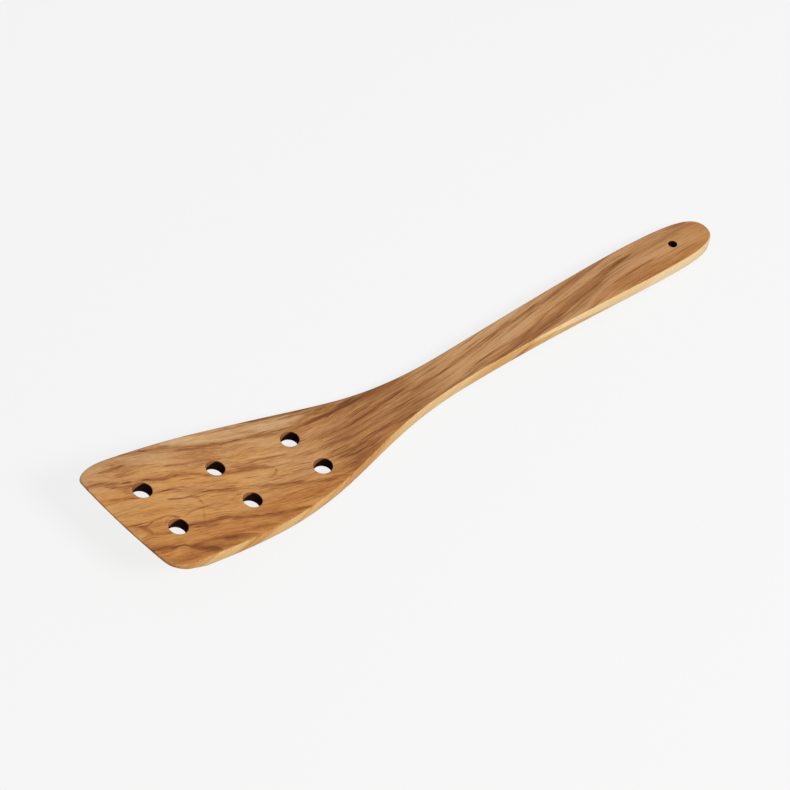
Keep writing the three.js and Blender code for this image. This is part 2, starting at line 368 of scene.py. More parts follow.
def board_places(coordinates):
    """Lengths along and across the board and depth under its top face, from coordinates of the bent board."""
    points = (coordinates.reshape(-1, 3) - shift) / MM
    along = points[:, 0] - points[:, 0].min()
    for _ in range(SETTLING_STEPS):
        x, z, pitch = spine(along)
        along = along + (points[:, 0] - x) * np.cos(pitch) + (points[:, 2] - z) * np.sin(pitch)
    x, z, pitch = spine(along)
    depth = (points[:, 0] - x) * np.sin(pitch) - (points[:, 2] - z) * np.cos(pitch)
    return np.column_stack([along, points[:, 1], depth])


vertex_count = len(worked_mesh.vertices)
vertex_coordinates = np.empty(vertex_count * 3)
worked_mesh.vertices.foreach_get("co", vertex_coordinates)
vertex_places = board_places(vertex_coordinates)
board_place = worked_mesh.attributes.new("board_place", "FLOAT_VECTOR", "POINT")
board_place.data.foreach_set("vector", vertex_places.ravel())

# Painted light and shade in the holes: their walls are coloured near black, as painted shade deep inside
# them, and a paler brown in a wedge below the rims of the drain holes, on the side that faces the lamp, as
# painted light.
# Painted lit wedge of each drain hole: how deep down the wall it reaches, which way from the axis it lies,
# and how far round it reaches.
PAINTED_LIT_DEPTH = 4.0
PAINTED_LIT_TOWARDS = (-0.81, 0.58)
PAINTED_LIT_REACH = 0.12
MOUTH_DEPTH = 0.02
# Colours of the painted shade and of the painted lit wedge, with a soft, ragged edge between them, and the
# dull surface of the walls.
HOLE_SHADE_DARK = "#1a0a05"
HOLE_WALL_LIT = "#93603a"
SHADE_EDGE_FADE = 1.3
SHADE_EDGE_RAGGEDNESS = 0.8
SHADE_EDGE_SPECK = 1.2
HOLE_WALL_ROUGHNESS = 0.95
HOLE_WALL_SPECULAR = 0.05
face_count = len(worked_mesh.polygons)
face_centres = np.empty(face_count * 3)
worked_mesh.polygons.foreach_get("center", face_centres)
face_along, face_across, face_depth = board_places(face_centres).T
below_mouth = np.minimum(face_depth, thickness(face_along, face_across) - face_depth)
in_hole = np.zeros(face_count, int)
lit_wedge_depths = np.zeros(vertex_count)
for hole_along, hole_across, diameter in holes:
    from_axis = np.hypot(face_along - hole_along, face_across - hole_across)
    in_hole[(from_axis < diameter / 2) & (below_mouth > MOUTH_DEPTH)] = 1
    # The drain holes get the painted lit wedge on the wall that faces the lamp; the hanging hole is painted
    # dark all round.
    if diameter == DRAIN_DIAMETER:
        off_axis = vertex_places[:, :2] - (hole_along, hole_across)
        from_axis = np.hypot(*off_axis.T)
        inside = from_axis < diameter
        facing = off_axis[inside] @ PAINTED_LIT_TOWARDS / from_axis[inside]
        lit_wedge_depths[inside] = PAINTED_LIT_DEPTH * np.clip((facing + PAINTED_LIT_REACH) / (1 + PAINTED_LIT_REACH), 0, 1)
worked_mesh.attributes.new("lit_wedge_depth", "FLOAT", "POINT").data.foreach_set("value", lit_wedge_depths)


def linear(hex_colour):
    """Linear colour of an sRGB hex value."""
    channels = [int(hex_colour[start:start + 2], 16) / 255 for start in (1, 3, 5)]
    return [c / 12.92 if c <= 0.04045 else ((c + 0.055) / 1.055) ** 2.4 for c in channels] + [1.0]


def bare_material(name):
    """A new material with no nodes in it."""
    material = bpy.data.materials.new(name)
    material.use_nodes = True
    material.node_tree.nodes.clear()
    return material


def add(tree, kind, sockets=None, curve=(), ramp=(), **settings):
    """Adds a node and returns its outputs. A socket takes a value or another node's output, a curve takes its
    points as (number in, number out), and a ramp takes its stops as (number in, hex colour)."""
    node = tree.nodes.new("ShaderNode" + kind)
    for name, value in settings.items():
        setattr(node, name, value)
    for name, value in (sockets or {}).items():
        if isinstance(value, bpy.types.NodeSocket):
            tree.links.new(value, node.inputs[name])
        else:
            node.inputs[name].default_value = value
    if curve:
        node.mapping.use_clip = False
        node.mapping.extend = "HORIZONTAL"
        points = node.mapping.curves[0].points
        while len(points) < len(curve):
            points.new(0, 0)
        for point, location in zip(points, curve):
            point.location = location
            point.handle_type = "AUTO_CLAMPED"
        node.mapping.update()
    if ramp:
        stops = node.color_ramp.elements
        while len(stops) < len(ramp):
            stops.new(1.0)
        for stop, (position, hex_colour) in zip(stops, ramp):
            stop.position = position
            stop.color = linear(hex_colour)
    return node.outputs


# The hole walls' material: painted shade, near black, going over into the paler painted lit wedge near the
# rims.
hole_shade_paint = bare_material("olive_wood_painted_hole_shade")
hole_shade_tree = hole_shade_paint.node_tree
place = add(hole_shade_tree, "Attribute", attribute_name="board_place")["Vector"]
depth = add(hole_shade_tree, "SeparateXYZ", {"Vector": place})["Z"]
lit_wedge_depth = add(hole_shade_tree, "Attribute", attribute_name="lit_wedge_depth")["Fac"]
deeper = add(hole_shade_tree, "Math", {0: depth, 1: lit_wedge_depth}, operation="SUBTRACT")[0]
specks = add(hole_shade_tree, "TexNoise", {"Vector": place, "Scale": 1 / SHADE_EDGE_SPECK})["Fac"]
speck_offsets = {0: specks, 1: SHADE_EDGE_RAGGEDNESS, 2: -SHADE_EDGE_RAGGEDNESS / 2}
ragged = add(hole_shade_tree, "Math", speck_offsets, operation="MULTIPLY_ADD")[0]
deeper = add(hole_shade_tree, "Math", {0: deeper, 1: ragged}, operation="ADD")[0]
hole_shade_limits = {"Value": deeper, "From Min": -SHADE_EDGE_FADE / 2, "From Max": SHADE_EDGE_FADE / 2}
hole_shade_share = add(hole_shade_tree, "MapRange", hole_shade_limits, interpolation_type="SMOOTHSTEP")[0]
hole_wall_colours = {"Factor": hole_shade_share, 6: linear(HOLE_WALL_LIT), 7: linear(HOLE_SHADE_DARK)}
hole_wall_colour = add(hole_shade_tree, "Mix", hole_wall_colours, data_type="RGBA")[2]
hole_wall_surface = {"Base Color": hole_wall_colour, "Roughness": HOLE_WALL_ROUGHNESS, "Specular IOR Level": HOLE_WALL_SPECULAR}
add(hole_shade_tree, "OutputMaterial", {"Surface": add(hole_shade_tree, "BsdfPrincipled", hole_wall_surface)["BSDF"]})
olive_wood = bare_material("olive_wood_oiled")
worked_mesh.materials.clear()
worked_mesh.materials.append(olive_wood)
worked_mesh.materials.append(hole_shade_paint)
worked_mesh.polygons.foreach_set("material_index", in_hole)


# Olive wood, sanded and oiled: a honey ground with brown veins that lean across the blade, run straight
# through the neck and drift back across the handle, under the oil's half matt sheen. The near wall shows pale
# sapwood. The grain is laid out on the flat board, in millimetres along it, across it and under its top face.
# The blade's end walls are darkened within a few millimetres of the end: partly end grain, partly painted
# shade of the end that faces away from the lamp.
END_DARK_FULL, END_DARK_GONE = 1.0, 6.0
SAPWOOD_FROM, SAPWOOD_FULL = 3.0, 7.0
vertex_along, vertex_across, vertex_depth = vertex_places.T
vertex_thickness = thickness(vertex_along, vertex_across)
below_face = np.minimum(vertex_depth, vertex_thickness - vertex_depth)
rounding = np.minimum(EDGE_ROUND, EDGE_SHARE_OF_THICKNESS * vertex_thickness)
on_wall = np.clip(below_face / rounding, 0, 1)
off_end = np.interp(behind_tip(vertex_along, vertex_across), (END_DARK_FULL, END_DARK_GONE), (0, 1))
on_near_half = np.interp(-vertex_across, (SAPWOOD_FROM, SAPWOOD_FULL), (0, 1))
from_outline = np.array([np.hypot(*(near_edge - point).T).min() for point in vertex_places[:, :2]])
masks = {
    "near_wall": off_end * on_near_half,
    "from_near_edge": from_outline - EDGE_ROUND,
    "end_grain_and_shade": on_wall * (1 - off_end),
}
for name, mask in masks.items():
    worked_mesh.attributes.new(name, "FLOAT", "POINT").data.foreach_set("value", mask)
wood = olive_wood.node_tree
place = add(wood, "Attribute", attribute_name="board_place")["Vector"]
along, across, depth = add(wood, "SeparateXYZ", {"Vector": place})

# The grain leans towards the near side on the blade and back on the handle. Deeper in the board it lies
# further to the near side, so the underside shows the same growth rings a little displaced.
GRAIN_DRIFT = (
    (0, 12), (30, 7), (60, 0), (85, -4.5), (110, -6.5), (150, -6.5), (185, -4), (220, 1), (250, 5), (300, 7),
)
RING_LEAN = 0.6
drift = add(wood, "FloatCurve", {"Value": along}, curve=GRAIN_DRIFT)[0]
leaning = add(wood, "Math", {0: depth, 1: RING_LEAN, 2: across}, operation="MULTIPLY_ADD")[0]
cross_grain = add(wood, "Math", {0: leaning, 1: drift}, operation="SUBTRACT")[0]
straight_grain = add(wood, "CombineXYZ", {"X": along, "Y": cross_grain, "Z": depth})[0]

# Streaks, each with its length and width. They shorten towards the blade's end, where the grain wavers most.
# Real fibres and pores are a tenth of a millimetre wide or less, too fine to show, so they are drawn coarser.
WAVER = (26, 9)
BROAD_STREAK = (45, 5)
BAND = (34, 2.2)
LINE = (22, 0.9)
FIBRE = (6, 0.5)
PORE = (24, 0.4)
TREMBLE = (9, 3)
STREAK_DETAIL = 2.0
PORE_DETAIL = 1.0
STREAK_ROUGHNESS = 0.55
GRAIN_WAVER = ((0, 5), (90, 5), (130, 2.5), (300, 2))
GRAIN_RUN = ((0, 0), (100, 200), (130, 245), (300, 415))


def streaks(grain, length, width, detail=STREAK_DETAIL):
    """Noise drawn out along the grain, in streaks of a length and width in millimetres."""
    scales = (1 / length, 1 / width, 1 / width)
    scaled = add(wood, "VectorMath", {0: grain, 1: scales}, operation="MULTIPLY")[0]
    noise = {"Vector": scaled, "Scale": 1.0, "Detail": detail, "Roughness": STREAK_ROUGHNESS}
    return add(wood, "TexNoise", noise)["Fac"]


waver = streaks(straight_grain, *WAVER)
waver_width = add(wood, "FloatCurve", {"Value": along}, curve=GRAIN_WAVER)[0]
wavy = add(wood, "Math", {0: waver, 1: waver_width, 2: cross_grain}, operation="MULTIPLY_ADD")[0]
grain_run = add(wood, "FloatCurve", {"Value": along}, curve=GRAIN_RUN)[0]
wavy_grain = add(wood, "CombineXYZ", {"X": grain_run, "Y": wavy, "Z": depth})[0]
broad = streaks(wavy_grain, *BROAD_STREAK)
bands = streaks(wavy_grain, *BAND)
lines = streaks(wavy_grain, *LINE)
fibres = streaks(wavy_grain, *FIBRE)
pores = streaks(wavy_grain, *PORE, PORE_DETAIL)
tremble = streaks(straight_grain, *TREMBLE)

# Veins and patches of the figure, given one by one: how much darker than the ground each one is, then points
# of its course, with their length along the board, place across it and reach to either side. A negative
# darkness is a pale streak.
VEINS = (
    (0.15, (15, 29.2, 0.45), (22, 28.5, 1.35), (28, 27.6, 1.35), (33, 26.6, 0)),
    (0.20, (28, 28.4, 0), (33, 26.6, 2.1), (38, 25, 2.7), (44, 23.4, 2.4), (50, 21.9, 2.7),
     (56, 20.4, 2.1), (62, 19.2, 1.95), (70, 18, 2.25), (78, 15.8, 2.25), (86, 13.8, 1.95),
     (95, 12.2, 1.65), (106, 11.3, 1.5), (118, 10.8, 1.35), (126, 10.5, 0)),
    (0.12, (42, 22.7, 0), (48, 21.3, 0.9), (54, 20.3, 0.9), (62, 18.8, 1.05), (72, 17, 1.05),
     (80, 14.9, 0.9), (86, 13.2, 0)),
    (-0.08, (46, 25, 0), (54, 22.8, 1.2), (60, 21.2, 1.2), (68, 19.8, 1.05), (78, 17.6, 0)),
    (-0.17, (38, 28, 0), (46, 26.8, 2.25), (54, 25.4, 2.7), (64, 23.8, 2.7), (74, 21.6, 2.7),
     (84, 18.9, 2.85), (92, 17.1, 2.25), (100, 16, 0)),
    (0.18, (52, 26.9, 0), (60, 25.6, 0.75), (68, 24.4, 0.9), (76, 23, 0.9), (84, 21, 1.05),
     (92, 18.6, 1.05), (99, 17, 0)),
    (0.11, (58, 23, 0), (66, 21.4, 0.6), (72, 20.4, 0.6), (80, 18.5, 0)),
    # Painted shade: this dark line runs along the far edge's rounding, where that edge turns away from the
    # lamp.
    (0.28, (74, 25, 0), (82, 23.2, 1.05), (90, 21, 1.05), (98, 19.2, 0.9), (108, 16.6, 0)),
    (0.18, (8, 24, 0), (12, 23.7, 1.2), (18, 23.2, 1.2), (23, 22, 1.2), (28, 20.7, 0.9), (32, 20, 0)),
    (0.11, (3, 23.6, 0), (8, 22.3, 1.2), (13, 20.6, 1.2), (19, 19, 1.05), (27, 17.8, 0)),
    (0.20, (0, 19.4, 1.2), (4, 19, 1.5), (8, 18.2, 1.65), (11.5, 17.2, 1.35), (15, 15.6, 0)),
    (0.28, (14, 16.1, 0), (15.6, 15.8, 0.75), (17.2, 15.4, 0.75), (19, 14.9, 0)),
    (0.16, (7, 16.8, 0), (11, 14.9, 2.4), (14.5, 12.6, 2.85), (18, 12.8, 2.4), (22, 14, 1.5),
     (26, 13.4, 0)),
    (0.10, (2, 10.6, 0), (7, 9.9, 1.2), (12, 9.2, 1.2), (17, 8.2, 0)),
    (-0.06, (5, 12.2, 0), (9, 11.6, 1.05), (13.5, 11.2, 0)),
    (0.20, (12.6, 8.3, 0), (16, 6.9, 0.6), (19, 5.8, 0)),
    (0.25, (22, 14.6, 0), (26, 12.9, 1.8), (30, 12, 1.65), (35, 11.5, 1.35), (39, 10.7, 1.5),
     (43, 9.1, 1.8), (46.5, 7.3, 1.8), (50, 5.8, 1.2), (56, 4.3, 1.35), (62, 3.2, 1.8),
     (67, 2.3, 2.25), (71, 0.6, 1.95), (75, -0.9, 0)),
    (-0.09, (30, 16.8, 0), (34, 15.5, 1.2), (38, 13.9, 1.05), (43, 12.7, 0)),
    (0.14, (32, 15, 0), (35, 13.8, 0.9), (39, 12.8, 0.75), (44, 12, 0.6), (48.5, 11.2, 0)),
    (0.22, (33, 17.3, 0), (38, 16.3, 0.9), (43, 15.3, 1.05), (47.5, 14.4, 1.05), (51, 13.4, 1.2),
     (54, 12.4, 0.9), (58, 11.6, 0)),
    (-0.07, (25, 10, 0), (30, 9.2, 2.4), (36, 8.2, 2.4), (42, 6.2, 2.4), (48, 3.8, 2.1),
     (56, 1.6, 2.25), (66, -1.6, 2.88), (74, -3, 0)),
    (0.22, (22, 7, 0), (25, 6.7, 0.75), (29, 6.2, 0.75), (33, 5.8, 0.6), (37, 4.8, 0)),
    (0.16, (27, 5, 0), (31, 4, 2.4), (36, 2.6, 2.88), (40, 0.8, 2.4), (44, -0.5, 1.2), (47, -1.6, 0)),
    (0.38, (26, 2, 0), (27.5, 1.6, 0.75), (29, 0.9, 0.9), (31, 0.3, 0.6), (34, -0.2, 0.45), (37, 0, 0)),
    (0.18, (34, 0.2, 0), (36.3, -1, 1.8), (37.8, -3.2, 2.7), (38.8, -5.4, 0)),
    (0.26, (40, -0.2, 0), (44, -0.9, 0.9), (48, -2.5, 1.35), (52, -3.8, 1.5), (56, -4.8, 1.35),
     (60, -5.9, 1.5), (64, -7.2, 1.35), (69, -8.5, 1.05), (74, -10.3, 1.2), (79, -12.4, 1.35),
     (84, -14.2, 1.2), (90, -15.4, 0)),
    (0.15, (58, -4.6, 0), (63, -5.6, 0.75), (68, -6.2, 0.6), (72, -6.3, 0.6), (76, -6.2, 0.6),
     (81, -7.3, 0.75), (88, -8.6, 0)),
    (0.19, (69, -5, 0), (72, -4.2, 0.9), (74, -2.9, 1.35), (75.4, -1.4, 0)),
    (0.18, (57, 6.8, 0), (62, 5.5, 0.75), (69, 5.2, 0.75), (75, 4.1, 0.9), (80, 2.8, 0.75),
     (86, 1.4, 0)),
    (-0.12, (66, 7.4, 0), (71, 6.4, 1.05), (77, 5.2, 1.05), (83, 3.2, 0.75), (90, 1.6, 0)),
    (0.28, (4.4, -4.2, 0.45), (8, -4.5, 0.52), (11, -4.6, 0.52), (14.5, -5.3, 0.6), (18, -5.5, 0.52),
     (21, -5.5, 0.52), (23.5, -6.3, 0.75), (25.5, -7.6, 0.45), (27.5, -8.2, 0)),
    (0.28, (6.5, -5, 0), (9, -5.5, 0.6), (12, -6.4, 0.68), (14.5, -5.9, 0.45), (16, -5.4, 0)),
    (0.19, (8.6, -5.6, 0), (10.2, -7.2, 2.4), (11.6, -9, 2.7), (12.8, -10.6, 0)),
    (0.22, (7, -11, 0), (10.5, -10.9, 1.35), (14, -11.8, 1.5), (18, -12.8, 1.2), (23, -13.2, 0)),
    (0.12, (5, -12.6, 0.45), (9, -12.3, 0.6), (14, -12.8, 0)),
    (0.16, (18.5, -9, 0), (21, -7.3, 1.2), (24, -6.9, 1.2), (26.5, -8, 0)),
    (0.30, (25, -12.3, 0), (28, -12.6, 1.2), (31, -13.1, 1.35), (34.5, -14.4, 1.65), (38, -15, 1.5),
     (42, -15.1, 1.5), (45, -16.3, 1.65), (48, -18, 1.65), (51.5, -18.9, 1.5), (55, -19.6, 1.5),
     (59, -20.9, 1.8), (63, -22, 1.8), (69, -22.9, 1.35), (76, -24, 0)),
    (0.20, (28, -13.6, 0), (32, -15.2, 1.05), (36, -16.6, 1.2), (40, -16.4, 0)),
    (0.10, (44, -17, 0), (48, -19.4, 1.05), (53, -20.6, 1.2), (58, -22, 1.35), (63, -23.4, 1.35),
     (69, -24.4, 0)),
    (0.18, (27, -8.3, 0), (30.5, -7.5, 0.52), (34, -7.1, 0.6), (38, -7.3, 0.52), (42, -7.8, 0.6),
     (45, -8.5, 0.75), (48, -9.8, 0)),
    (0.12, (33.2, -13.4, 0), (34.6, -11.4, 1.35), (36, -9.4, 1.8), (36.8, -7.6, 0)),
    (0.12, (47, -8.6, 0), (51, -7.6, 0.6), (54, -7, 0.6), (57, -6, 0)),
    (0.28, (7.2, -17.6, 0.9), (10, -18.4, 1.8), (13, -19, 2.1), (16, -19.6, 1.35), (19.5, -20.2, 0)),
    (0.34, (8, -19.6, 0), (11, -20.3, 0.6), (13.6, -20.7, 0.68), (16, -20.4, 0.6), (18.3, -20, 0.6),
     (20, -20.3, 0.75), (21.6, -21.2, 0.9), (24, -21.8, 0.9), (29, -22.3, 0.9), (34, -23.2, 1.05),
     (39, -24.3, 1.2), (45, -25.6, 0.9), (50, -26.8, 0)),
    (0.14, (22, -20.4, 0), (28, -21.1, 0.9), (34, -22.4, 1.2), (41, -23.4, 1.2), (48, -23.9, 1.2),
     (54, -24.7, 1.2), (60, -26, 0)),
    (0.11, (35, -24.4, 0), (40, -25.4, 1.35), (45, -26.5, 1.35), (51, -27.6, 0)),
    (0.30, (20.6, -20.8, 0), (23, -22.5, 1.5), (25.6, -24.2, 2.4), (28.4, -25.8, 2.7),
     (31, -27.2, 1.5), (33, -28.4, 0)),
    (0.10, (5, -23, 0), (12, -24.6, 5), (24, -25.8, 5), (38, -26.5, 3.5), (52, -27, 0)),
    (-0.08, (59, -14.6, 0), (66, -15, 0.75), (74, -14.5, 0.75), (82, -14.9, 0)),
    (0.10, (60, -15.4, 0), (67, -16, 0.9), (75, -15.7, 0.75), (84, -16, 0)),
    (0.20, (70, -24, 0), (75, -24.2, 0.6), (80, -23.6, 0)),
    (0.07, (54, -17, 0), (64, -17.4, 5), (78, -18, 5), (92, -18, 0)),
    (0.28, (84, -14.8, 0), (88, -15.9, 0.9), (91.5, -16.8, 1.2), (95, -17.8, 1.05), (99, -18.6, 0)),
    (0.07, (89, -13, 0), (95, -14.6, 2.1), (102, -15.4, 2.7), (110, -15, 2.1), (118, -13.4, 0)),
    (0.10, (96, -17.6, 0), (104, -17.2, 1.05), (112, -15.6, 1.05), (120, -13.4, 0)),
    (0.18, (96, -7.6, 0), (102, -8.4, 0.6), (110, -9, 0.75), (116, -9, 0)),
    (0.20, (95, -10, 0), (100, -10, 0.6), (103.5, -10.7, 0.75), (109, -11.1, 0.6), (113, -11, 0)),
    (0.12, (100, -13, 0), (107, -13.2, 0.52), (116, -12.8, 0.45), (122, -12, 0)),
    (0.19, (94, 11.8, 0), (98, 11.4, 0.75), (104, 11.1, 0.83), (111, 10.7, 0.9), (119, 10.4, 0.9),
     (125, 10.2, 0)),
    (0.14, (102, 14.4, 0), (108, 13.2, 0.75), (114, 12.3, 0.9), (121, 11.6, 0)),
    (0.09, (106, 15.5, 0), (114, 13, 0.9), (120, 11.8, 1.8), (126, 10.8, 2.25),
     (132, 10, 1.5), (140, 9.2, 0)),
    (0.18, (104, 2, 0), (111, 1.6, 0.9), (117, 2, 1.05), (123, 2.2, 1.2), (129, 2.5, 1.05),
     (136, 3, 0.9), (142, 3.2, 0)),
    (-0.08, (94, 8.4, 0), (102, 8, 0.9), (111, 7.1, 0.9), (119, 6.9, 0.75), (126, 7, 0)),
    (0.12, (94, -2.5, 0), (101, -2.7, 0.9), (108, -3.3, 0.9), (115, -3.6, 1.05), (124, -3.2, 0.9),
     (132, -3.3, 0.9), (140, -3.8, 0)),
    (0.12, (114, -6.8, 0), (120, -7.1, 1.5), (126, -7.6, 1.95), (132, -7.9, 1.8), (140, -7.8, 1.2),
     (148, -7.2, 0)),
    (-0.06, (126, 0.5, 0), (133, 0.3, 0.9), (141, 0.6, 0.6), (148, 1.2, 0)),
    (0.17, (132, 1.9, 0), (140, 1.2, 0.6), (147, 0.5, 1.05), (154, 0.5, 1.05), (162, 1.1, 1.05),
     (170, 1.8, 1.2), (178, 2.2, 1.05), (186, 3.4, 1.2), (194, 4.3, 1.35), (203, 4.9, 1.35),
     (212, 5.6, 1.35), (221, 6.4, 1.5), (230, 7.6, 1.65), (239, 8.8, 1.65), (248, 9.9, 1.5),
     (256, 10.6, 0)),
    (0.10, (216, 3, 0), (224, 4.6, 0.9), (232, 6.2, 0.9), (240, 7.8, 0.9), (248, 9, 0)),
    (0.16, (146, -7.6, 0), (152, -7.7, 0.75), (159, -7.8, 0.9), (166, -7.1, 1.05), (173, -6.2, 0.75),
     (182, -5.4, 0.6), (190, -4.7, 0.75), (198, -3.6, 0.75), (206, -1.9, 0.75), (214, 0.1, 0)),
    (0.11, (162, -5.8, 0), (170, -4.6, 0.6), (178, -4, 0.6), (188, -3.8, 0.6), (197, -3, 0)),
    (0.21, (172, -7.4, 0), (182, -7.3, 2.1), (190, -6.6, 2.4), (198, -5.4, 3.36), (207, -4.1, 3.3),
     (216, -2.9, 3.4), (225, -1.5, 3.1), (233, -0.2, 3.36), (240, 1.4, 3), (247, 3.2, 2.4),
     (254, 4.4, 1.4), (262, 5.2, 0)),
    (0.12, (248, 3.8, 0), (258, 4.9, 2.55), (268, 5.4, 2.7), (278, 5.2, 2.4), (288, 5.3, 1.8),
     (297, 4.2, 0)),
    (0.20, (175, -8.2, 0), (183, -8.1, 1.5), (190, -7.9, 1.8), (197, -7.4, 1.8), (204, -6.3, 1.6),
     (212, -5.2, 1.2), (222, -4, 0)),
    (0.13, (198, -7.8, 0), (206, -7.3, 0.75), (214, -6.5, 0.75), (222, -5.3, 0.75), (230, -3.6, 0.75),
     (238, -1.9, 0.75), (245, -0.6, 0)),
    (0.11, (218, -3.9, 0), (226, -2.7, 0.6), (234, -1.3, 0.6), (243, 0.2, 0)),
    (0.10, (210, -0.4, 0), (218, 0.6, 0.75), (228, 1.6, 0.75), (238, 3.1, 0.75), (248, 5.1, 0.75),
     (258, 6.2, 0)),
    (0.13, (243, -3.7, 0), (250, -3.1, 1.05), (257, -2.5, 1.35), (263, -2.3, 1.35), (270, -2.2, 0)),
    (0.07, (240, -7, 0), (252, -6.4, 3.12), (264, -6, 3.12), (276, -6.4, 0)),
    (0.12, (280, 8.6, 0), (287, 7.8, 1.35), (293, 6.4, 1.8), (298, 3.4, 0)),
)

# A vein is half as dark at a set share of its reach. Its course wavers and frays with the grain, its strands
# vary along with the lines of the grain, and where veins meet they don't add up in full.
VEIN_WAVER = 1.6
VEIN_FRAYING = 0.6
HALF_DARK = 0.62
THINNEST = 0.004
NOISE_MIDDLE = 0.5
STRAND_CONTRAST = ((0, 1.2), (90, 1.2), (120, 1.3), (300, 1.6))
FIGURE_DEPTH = ((-0.2, -0.2), (0, 0), (0.1, 0.1), (0.2, 0.19), (0.3, 0.285), (0.5, 0.41))
centring = -(VEIN_WAVER + VEIN_FRAYING) / 2
swaying = add(wood, "Math", {0: tremble, 1: VEIN_WAVER, 2: centring}, operation="MULTIPLY_ADD")[0]
fraying = add(wood, "Math", {0: lines, 1: VEIN_FRAYING, 2: swaying}, operation="MULTIPLY_ADD")[0]
wavering = add(wood, "Math", {0: leaning, 1: fraying}, operation="ADD")[0]
swaying_along = add(wood, "Math", {0: along, 1: fraying}, operation="ADD")[0]
figure = 0.0
for darkness, *course in VEINS:
    middles = [(length, middle) for length, middle, reach in course]
    widths = [(length, max(reach * HALF_DARK, THINNEST)) for length, middle, reach in course]
    middle = add(wood, "FloatCurve", {"Value": swaying_along}, curve=middles)[0]
    half_width = add(wood, "FloatCurve", {"Value": swaying_along}, curve=widths)[0]
    offset = add(wood, "Math", {0: wavering, 1: middle}, operation="SUBTRACT")[0]
    ratio = add(wood, "Math", {0: offset, 1: half_width}, operation="DIVIDE")[0]
    square = add(wood, "Math", {0: ratio, 1: ratio}, operation="MULTIPLY")[0]
    falloff = add(wood, "Math", {0: square, 1: square, 2: 1.0}, operation="MULTIPLY_ADD")[0]
    shade = add(wood, "Math", {0: darkness, 1: falloff}, operation="DIVIDE")[0]
    figure = add(wood, "Math", {0: figure, 1: shade}, operation="ADD")[0]
strand = add(wood, "Math", {0: NOISE_MIDDLE, 1: lines}, operation="SUBTRACT")[0]
strand_contrast = add(wood, "FloatCurve", {"Value": along}, curve=STRAND_CONTRAST)[0]
strands = add(wood, "Math", {0: strand, 1: strand_contrast, 2: 1.0}, operation="MULTIPLY_ADD")[0]
figure = add(wood, "Math", {0: figure, 1: strands}, operation="MULTIPLY")[0]
figure = add(wood, "FloatCurve", {"Value": figure}, curve=FIGURE_DEPTH)[0]

# Tone of the wood: about 0.5 is the honey ground, and less is darker. The streaks vary it, each with its own
# weight, and the end grain with painted shade at the blade's end, the veins, one of them a line of painted
# shade along the far edge, and the pores darken it.
GROUND_TONE = (
    (0, 0.55), (85, 0.54), (112, 0.36), (140, 0.37), (160, 0.5), (190, 0.54), (225, 0.54), (250, 0.47),
    (300, 0.47),
)
STREAK_CONTRAST = ((0, 1), (85, 1), (110, 0.8), (140, 0.8), (185, 0.65), (255, 0.65), (280, 0.5), (300, 0.5))
STREAK_WEIGHTS = ((broad, 0.6), (bands, 0.3), (lines, 0.14), (fibres, 0.42))
# How much the blade's end walls are darkened, as end grain and as painted shade.
END_GRAIN_AND_SHADE_DARKNESS = 0.2
PORE_DARKNESS = ((0, 0.22), (90, 0.26), (112, 0.3), (170, 0.28), (200, 0.27), (255, 0.26), (300, 0.15))
PORE_FAINT, PORE_FULL = 0.42, 0.34
end_grain_and_shade = add(wood, "Attribute", attribute_name="end_grain_and_shade")["Fac"]
variation = -NOISE_MIDDLE * sum(weight for layer, weight in STREAK_WEIGHTS)
for layer, weight in STREAK_WEIGHTS:
    variation = add(wood, "Math", {0: layer, 1: weight, 2: variation}, operation="MULTIPLY_ADD")[0]
contrast = add(wood, "FloatCurve", {"Value": along}, curve=STREAK_CONTRAST)[0]
ground = add(wood, "FloatCurve", {"Value": along}, curve=GROUND_TONE)[0]
tone = add(wood, "Math", {0: variation, 1: contrast, 2: ground}, operation="MULTIPLY_ADD")[0]
tone = add(wood, "Math", {0: end_grain_and_shade, 1: -END_GRAIN_AND_SHADE_DARKNESS, 2: tone}, operation="MULTIPLY_ADD")[0]
tone = add(wood, "Math", {0: tone, 1: figure}, operation="SUBTRACT")[0]
pore_share = add(wood, "MapRange", {"Value": pores, "From Min": PORE_FAINT, "From Max": PORE_FULL})[0]
pore_darkness = add(wood, "FloatCurve", {"Value": along}, curve=PORE_DARKNESS)[0]
pore_lines = add(wood, "Math", {0: pore_share, 1: pore_darkness}, operation="MULTIPLY")[0]
tone = add(wood, "Math", {0: tone, 1: pore_lines}, operation="SUBTRACT")[0]

# Colours of the heartwood by its tone: honey on the blade, pinker in patches, towards the far side and on the
# handle, and ruddy towards the near side.
BLADE_HEARTWOOD = (
    (0.0, "#6e3917"), (0.2, "#975829"), (0.35, "#b0723b"),
    (0.5, "#c68948"), (0.65, "#d39a57"), (0.85, "#dcb270"),
)
HANDLE_HEARTWOOD = (
    (0.0, "#6a401d"), (0.2, "#8c5a2d"), (0.35, "#a87344"),
    (0.5, "#c08f60"), (0.65, "#caa072"), (0.85, "#d8b58a"),
)
NEAR_HEARTWOOD = (
    (0.0, "#6a3412"), (0.2, "#8f5323"), (0.35, "#a6682f"),
    (0.5, "#ba7b3d"), (0.65, "#c88d4a"), (0.85, "#d5a35f"),
)
HANDLE_SHARE = ((0, 0.1), (45, 0.15), (65, 0.4), (100, 0.6), (150, 0.8), (200, 1), (270, 1), (300, 0.4))
PINK_PATCH = (50, 8)
PINK_PATCHINESS = 1.6
FAR_PINK_FROM, FAR_PINK_FULL = 10.0, 30.0
RUDDY_FROM = ((0, -4), (60, -4), (110, -8), (160, -9), (225, -8), (250, -2), (300, 0))
RUDDY_SPAN = ((0, 16), (80, 14), (160, 10), (240, 11), (300, 14))
blade_heartwood = add(wood, "ValToRGB", {"Fac": tone}, ramp=BLADE_HEARTWOOD)["Color"]
